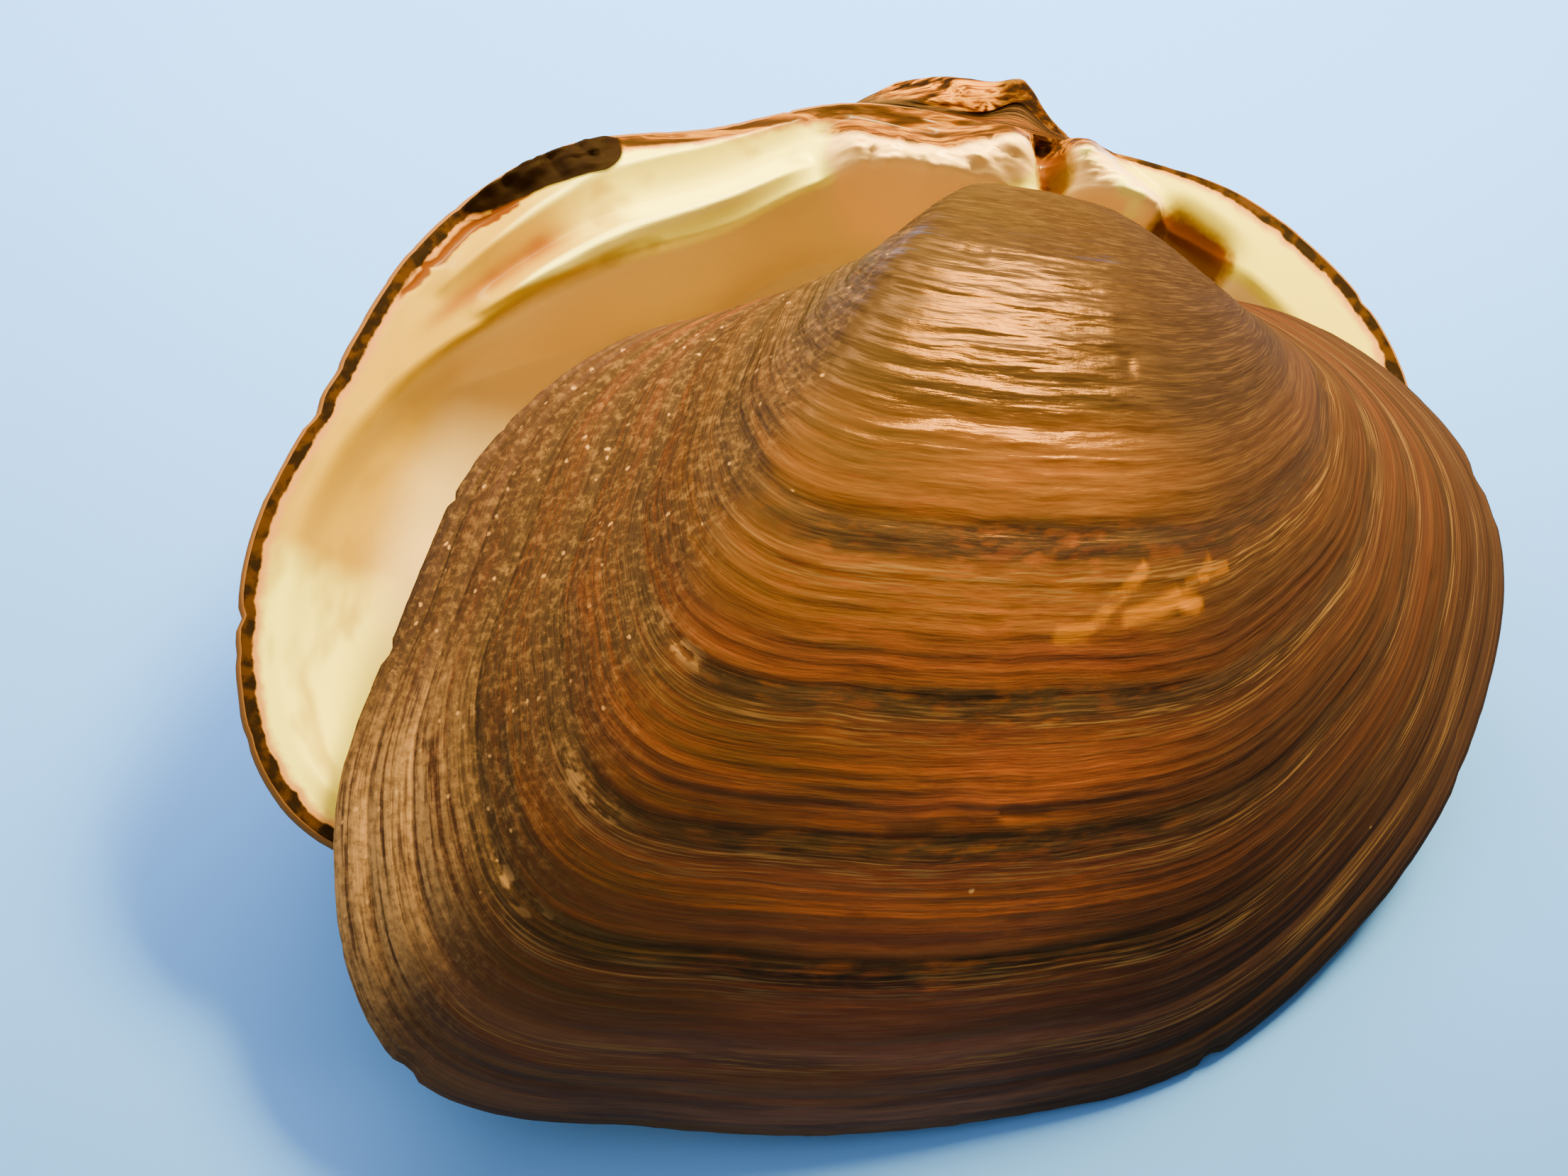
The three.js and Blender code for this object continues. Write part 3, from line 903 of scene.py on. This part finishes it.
def growth_ramp(colours):
    """Colour stops from the beak to the margin: bands that end in a bright line, with dark growth pauses."""
    bands = (
        ("ochre", 0.0, 0.14), ("umbo", 0.2, 0.42), ("tawny", 0.47, 0.497), ("pause", 0.508, 0.525),
        ("tawny", 0.54, 0.57), ("russet", 0.595), ("orange", 0.612), ("pause", 0.62, 0.634),
        ("russet", 0.648), ("orange", 0.68), ("brown", 0.7), ("orange", 0.715), ("pause", 0.722, 0.736),
        ("brown", 0.75), ("orange", 0.78), ("brown", 0.8), ("orange", 0.814), ("pause", 0.822, 0.838),
        ("brown", 0.85, 0.89), ("margin", 0.905), ("brown", 0.93), ("margin", 0.955, 1.0),
    )
    return [(place, getattr(colours, name)) for name, *places in bands for place in places]


def after_pause_ramp():
    """Where worn silvery hairlines show, just after a growth pause."""
    stops = [(0.0, 0.0)]
    for pause in (0.532, 0.63, 0.735, 0.832, 0.905):
        stops += [(pause, 0.0), (pause + 0.008, 1.0), (pause + 0.034, 0.0)]
    return [(place, (value,) * 3) for place, value in stops]


def hinge_layer_colour(nodes, place, nacre):
    """Dark, orange and pale layers drawn out along the hinge."""
    drawn_out = nodes.add("ShaderNodeVectorMath", {"operation": "MULTIPLY"}, {0: place, 1: (0.07, 1.3, 1.3)})
    layer = nodes.noise(drawn_out, 1, 3, 0.6)
    places = (0.38, 0.45, 0.52, 0.59, 0.65, 0.71)
    layers = (nacre.crust, nacre.rim, nacre.ligament, nacre.ochre, nacre.ligament, nacre.rim)
    return nodes.add("ShaderNodeValToRGB", {"stops": [*zip(places, layers)]}, {0: layer})


def skin_patterns(nodes):
    """The values and noises that the skin's colour and relief are made from."""
    names = ("growth", "slope", "ridge", "angle_x", "angle_y")
    growth, slope, ridge, around_x, around_y = map(nodes.attribute, names)
    place = nodes.millimetres()

    def drawn_out(around, across, *texture):
        """Noise drawn out along the growth lines. It drifts sideways so that no rays line up."""
        drift = growth * (0.08 * across)
        spot = nodes.point(around_x * around + drift, around_y * around + drift * 0.7, growth * across)
        return nodes.noise(spot, 1, *texture)

    broad = drawn_out(1.2, 26, 2)
    mottle = drawn_out(5, 62, 4, 0.6)
    return SimpleNamespace(
        growth=growth, slope=slope, ridge=ridge, around_x=around_x, around_y=around_y, place=place,
        hair=drawn_out(14, 520, 2), tan_hair=drawn_out(5, 600, 3), striae=drawn_out(5, 200, 3),
        bands=drawn_out(1.4, 62, 2), scales=drawn_out(24, 150, 2), broad=broad, mottle=mottle,
        grit=nodes.noise(place, 1.6, 3), grain=nodes.noise(place, 1.7, 3, 0.7),
        wander=growth + (broad - 0.5) * 0.025 + (mottle - 0.5) * 0.008,
    )


def banded_colour(nodes, skin, colours):
    """Brown and orange bands between dark growth pauses, with blotches, veils and yellow streaks."""
    disc = skin.growth.spread(0.44, 0.56) * (1 - skin.growth.spread(0.8, 0.92)) * (1 - skin.slope)
    veil = skin.broad.spread(0.42, 0.62) * 0.4 + (0 - skin.around_x).spread(0, 0.7) * 0.45
    cool = skin.bands.spread(0.46, 0.56) * skin.growth.spread(0.86, 0.95) * 0.6
    streak = nodes.attribute("streak").spread(0.1, 0.9) * skin.mottle.spread(0.25, 0.5) * 0.8
    return nodes.painted(
        nodes.add("ShaderNodeValToRGB", {"stops": growth_ramp(colours)}, {0: skin.wander}),
        (skin.mottle.spread(0.5, 0.68) * disc * 0.5, colours.orange),
        ((1 - skin.mottle).spread(0.52, 0.66) * disc * 0.6, colours.russet),
        (skin.bands.spread(0.53, 0.66) * 0.16, colours.pause),
        (veil * (0.5 + 0.5 * skin.striae.spread(0.3, 0.6)), colours.olive),
        (cool, colours.slate),
        (skin.around_x.spread(0.2, 0.85) * 0.85, colours.pause),
        (streak, colours.yellow),
    )


def weathered_colour(nodes, skin, colours, base):
    """The dull rear slope and ridge, with dark and pale grains and worn edges, and fine tan hairlines."""
    slope, ridge, growth = skin.slope, skin.ridge, skin.growth
    dull = slope * (0.5 + 0.4 * skin.striae.spread(0.4, 0.6))
    dull = dull + ridge * (0.3 + 0.5 * growth.spread(0.7, 0.85)) * skin.mottle
    worn = slope * growth.spread(0.8, 0.92) * skin.striae.spread(0.32, 0.55)
    rough = (slope + ridge * growth.spread(0.5, 0.7) * 0.5).spread(0, 1)
    after = nodes.add("ShaderNodeValToRGB", {"stops": after_pause_ramp()}, {0: skin.wander})
    return nodes.painted(
        base,
        (dull, colours.dust),
        (worn * (0 - skin.around_y).spread(0.05, 0.45) * 0.7, colours.fleck),
        ((1 - skin.grain).spread(0.45, 0.65) * rough * 0.45, colours.pause),
        (skin.grain.spread(0.47, 0.72) * rough * 0.22, colours.fleck),
        (skin.tan_hair.spread(0.5, 0.64) * (0.16 + 0.7 * after) * (1 - 0.7 * slope), colours.straw),
    )


def pale_flecks(nodes, skin):
    """Worn flakes along the ridge and a few specks, most of them on the rear slope."""
    flake = nodes.attribute("flake") * skin.scales.spread(0.44, 0.6)
    crumple = nodes.point(skin.grit * 0.5, skin.mottle * 0.5, skin.striae * 0.5)
    crumpled = nodes.add("ShaderNodeVectorMath", {"operation": "ADD"}, {0: skin.place, 1: crumple})
    cells = {"Vector": crumpled, "Scale": 0.9}
    spot = nodes.add("ShaderNodeTexVoronoi", {}, cells)
    rare = nodes.add("ShaderNodeTexVoronoi", {}, cells, 1)
    speck = (1 - spot.spread(0.06, 0.19)) * (rare + skin.slope * 0.5).spread(0.92, 0.94)
    return (flake * 0.6 + speck * 0.8).spread(0, 1)


def skin_material(colours, nacre):
    nodes = MaterialNodes("brown_skin")
    skin = skin_patterns(nodes)
    growth, around_x = skin.growth, skin.around_x
    base = weathered_colour(nodes, skin, colours, banded_colour(nodes, skin, colours))
    shade = 0.8 + 0.2 * skin.striae.spread(0.3, 0.7) + 0.2 * skin.hair.spread(0.25, 0.75)
    beak = nodes.attribute("beak")
    base = nodes.painted(
        nodes.blend(1, base, nodes.grey(shade), "MULTIPLY"),
        (pale_flecks(nodes, skin), colours.fleck),
        (nodes.attribute("lip") * 0.8, colours.edge),
        (beak, hinge_layer_colour(nodes, skin.place, nacre)),
        # Painted shadow: crust over the front side of the left beak stands in for the shade on that side.
        (beak * around_x.spread(0.2, 0.7) * 0.8, nacre.crust),
    )
    glossy = growth.spread(0.2, 0.32) * (1 - growth.spread(0.45, 0.62)) * (1 - around_x.spread(0.35, 0.7))
    fine = skin.striae * 0.36 + skin.tan_hair * 0.16 + skin.hair * 0.15
    height = skin.bands * (0.16 + 2.8 * glossy) + fine * (1 - 0.3 * glossy)
    height = height + skin.grit * (0.12 + skin.slope * 0.4)
    matte = growth.spread(0.5, 0.64) * 0.85 + around_x.spread(0.3, 0.65) * 0.8
    matte = matte + 1 - growth.spread(0.24, 0.33) + skin.slope * 0.4
    surface = {
        "Base Color": base,
        "Roughness": 0.56 - 0.34 * glossy * (1 - skin.slope) + 0.2 * (skin.striae - 0.5),
        "Normal": nodes.bump(1.0, 0.14, height),
        "Specular Tint": (1, 0.38, 0.03, 1),
        "Specular IOR Level": 0.27,
    }
    return nodes.finish(surface, matte.spread(0, 1))


def pearl_colour(nodes, colours, inset):
    """Cream and gold in clouds, with the cream towards the ventral edge partly painted light. Tan in the
    deep cavity, partly painted shade, pale in front, and the hinge teeth with painted highlights on their
    crests and faces lightened as painted light.
    """
    names = ("angle_x", "angle_y", "hollow", "cardinal")
    around_x, around_y, hollow, cardinal = map(nodes.attribute, names)
    clouds = nodes.noise(nodes.point(around_x * 3, around_y * 3, inset * 0.12), 1, 1)
    drift = nodes.noise(nodes.point(around_x * 5, around_y * 5, inset * 0.4), 1, 2)
    # Partly painted shade: the cavity's tan covers the deep cavity and the steep wall under the hinge teeth,
    # where shade falls.
    wall = hollow.spread(0.2, 1.6) * around_y.spread(-0.05, 0.45)
    deep = (hollow.spread(3, 9) + wall).spread(0, 1)
    # Partly painted light: gold in clouds, and paler cream towards the ventral edge, where the light falls
    # brightest.
    golden = (around_y + (clouds - 0.5) * 0.9).spread(-0.56, -0.4) * (1 - around_y.spread(0.55, 0.8))
    groove = nodes.attribute("groove") * (0.5 + 0.9 * (drift - 0.3))
    # Painted highlight: pale crests on the lateral and short hinge teeth, where glints run along them.
    crest = nodes.attribute("tooth").spread(0.42, 0.75) + cardinal.spread(2.6, 3.3)
    return nodes.painted(
        colours.cream,
        (golden, colours.gold),
        (drift.spread(0.52, 0.7) * 0.6 * (1 - deep), colours.amber),
        (nodes.attribute("front") * 0.85, colours.peach),
        (deep * 0.9, colours.hollow),
        (groove.spread(0, 0.8), colours.ligament),
        # Painted light: the short teeth's faces point away from the light and are painted paler.
        (cardinal.spread(0.1, 1.0), colours.facet_painted_light),
        (crest.spread(0, 1), colours.tooth),
    )


def nacre_material(colours):
    nodes = MaterialNodes("golden_nacre")
    names = ("inset", "scar", "lump", "ligament")
    inset, scar, lump, ligament = map(nodes.attribute, names)
    place = nodes.millimetres()
    ragged = nodes.noise(place, 0.9, 3)
    rim = inset + (ragged - 0.5) * 0.8
    base = nodes.painted(
        pearl_colour(nodes, colours, inset),
        (1 - rim.spread(1.3, 1.9), colours.border),
        # Partly painted shade: amber and then brown deepen with the pits' depth, standing in for their
        # shadow as well as their tint.
        (scar.spread(0.3, 0.8) * 0.8, colours.amber),
        ((scar + (ragged - 0.5)).spread(0.5, 1.2), colours.scar),
        (nodes.attribute("seam").spread(0.15, 0.6), colours.scar),
        (1 - rim.spread(1.05, 1.25), nodes.blend(ragged.spread(0.42, 0.6), colours.crust, colours.rim)),
        (ligament, hinge_layer_colour(nodes, place, colours)),
        (ligament * 0.45, colours.rim),
        (lump.spread(0.1, 0.3), colours.crust),
    )
    horny = 1 - (rim - lump * 9).spread(1.05, 1.25)
    height = nodes.noise(place, 1.4, 3) * (0.1 + 0.9 * horny)
    surface = {
        "Base Color": base,
        "Roughness": 0.26 + 0.34 * horny,
        "Normal": nodes.bump(0.6, 0.1, height),
        "Coat Weight": 0.12 * (1 - horny),
        "Coat Roughness": 0.12,
        "Specular IOR Level": 0.22,
        "Specular Tint": (1, 0.8, 0.1, 1),
    }
    return nodes.finish(surface, (horny + ligament + lump).spread(0, 1) * 0.85)


def floor_material(colour):
    nodes = MaterialNodes("pale_floor")
    return nodes.finish({"Base Color": (*colour, 1), "Roughness": 0.85})


def add_light(name, lamp, power, colour):
    """A rectangle of light that faces its aim from a bearing, a rise and a distance."""
    made = bpy.data.objects.new(name, bpy.data.lights.new(name, "AREA"))
    made.data.shape = "RECTANGLE"
    made.data.size = lamp["width"]
    made.data.size_y = lamp["height"]
    made.data.energy = power
    made.data.color = colour
    bearing, rise, made.data.spread = radians(lamp["bearing"], lamp["rise"], lamp["spread"])
    out = Vector((math.sin(bearing) * math.cos(rise), math.cos(bearing) * math.cos(rise), math.sin(rise)))
    made.location = Vector(lamp["aim"]) + out * lamp["distance"]
    made.rotation_euler = (-out).to_track_quat("-Z", "Y").to_euler()
    made.visible_camera = False
    bpy.context.scene.collection.objects.link(made)


def make_camera():
    """The camera looks down onto its target from in front."""
    camera = bpy.data.objects.new("camera", bpy.data.cameras.new("camera"))
    bpy.context.scene.collection.objects.link(camera)
    target = Vector(CAMERA["target"]) * MM
    out = Vector((0, -math.cos(CAMERA["rise"]), math.sin(CAMERA["rise"])))
    camera.location = target + out * CAMERA["distance"] * MM
    camera.rotation_euler = (target - camera.location).to_track_quat("-Z", "Y").to_euler()
    camera.data.sensor_width = CAMERA["sensor"]
    camera.data.lens = CAMERA["lens"]
    camera.data.clip_start = NEAREST_SEEN
    bpy.context.scene.camera = camera


def make_room(strength, colour):
    world = bpy.data.worlds.new("room")
    bpy.context.scene.world = world
    world.use_nodes = True
    background = world.node_tree.nodes["Background"]
    background.inputs["Color"].default_value = (*colour, 1)
    background.inputs["Strength"].default_value = strength


class SHELL_OT_stage(bpy.types.Operator):
    """Lay the pale floor, light it softly and point the camera"""

    bl_idname = "shell.make_stage"
    bl_label = "Make Stage"

    def execute(self, context):
        look = context.scene.shell_stage
        bpy.ops.mesh.primitive_plane_add(size=FLOOR_SIZE)
        floor = context.object
        floor.name = "floor"
        floor.data.materials.append(floor_material(look.floor))
        make_camera()
        make_room(look.room_strength, look.light)
        add_light("window", WINDOW, look.window_power, look.glow)
        add_light("sky", SKY, look.sky_power, look.light)
        add_light("backdrop", BACKDROP, look.backdrop_power, look.light)
        return {"FINISHED"}


class SHELL_OT_halves(bpy.types.Operator):
    """Grow both halves of the shell with their skin and mother-of-pearl"""

    bl_idname = "shell.grow_halves"
    bl_label = "Grow Both Halves"

    def execute(self, context):
        scene = context.scene
        skin = skin_material(scene.shell_skin, scene.shell_nacre)
        nacre = nacre_material(scene.shell_nacre)
        for valve in (LEFT_VALVE, RIGHT_VALVE):
            make_valve(valve, scene.shell_relief, skin, nacre)
        return {"FINISHED"}


class SHELL_PT_sidebar(bpy.types.Panel):
    """Lists the steps that build the shell, and the values they use."""

    bl_idname = "SHELL_PT_sidebar"
    bl_label = "Mussel Shell"
    bl_space_type = "VIEW_3D"
    bl_region_type = "UI"
    bl_category = "Mussel Shell"

    def draw(self, context):
        layout = self.layout
        for step in STEPS:
            layout.operator(step.bl_idname)
        for name, group in SETTINGS.items():
            box = layout.box()
            for key in group.__annotations__:
                box.prop(getattr(context.scene, name), key)


STEPS = (SHELL_OT_stage, SHELL_OT_halves)
SETTINGS = {
    "shell_relief": ReliefSizes,
    "shell_skin": SkinColours,
    "shell_nacre": NacreColours,
    "shell_stage": StageLook,
}
CLASSES = (*SETTINGS.values(), *STEPS, SHELL_PT_sidebar)


def register():
    for cls in CLASSES:
        bpy.utils.register_class(cls)
    for name, group in SETTINGS.items():
        setattr(bpy.types.Scene, name, PointerProperty(type=group))


def unregister():
    for name in SETTINGS:
        delattr(bpy.types.Scene, name)
    for cls in reversed(CLASSES):
        bpy.utils.unregister_class(cls)


def main():
    register()
    bpy.ops.shell.make_stage()
    bpy.ops.shell.grow_halves()


if __name__ == "__main__":
    main()
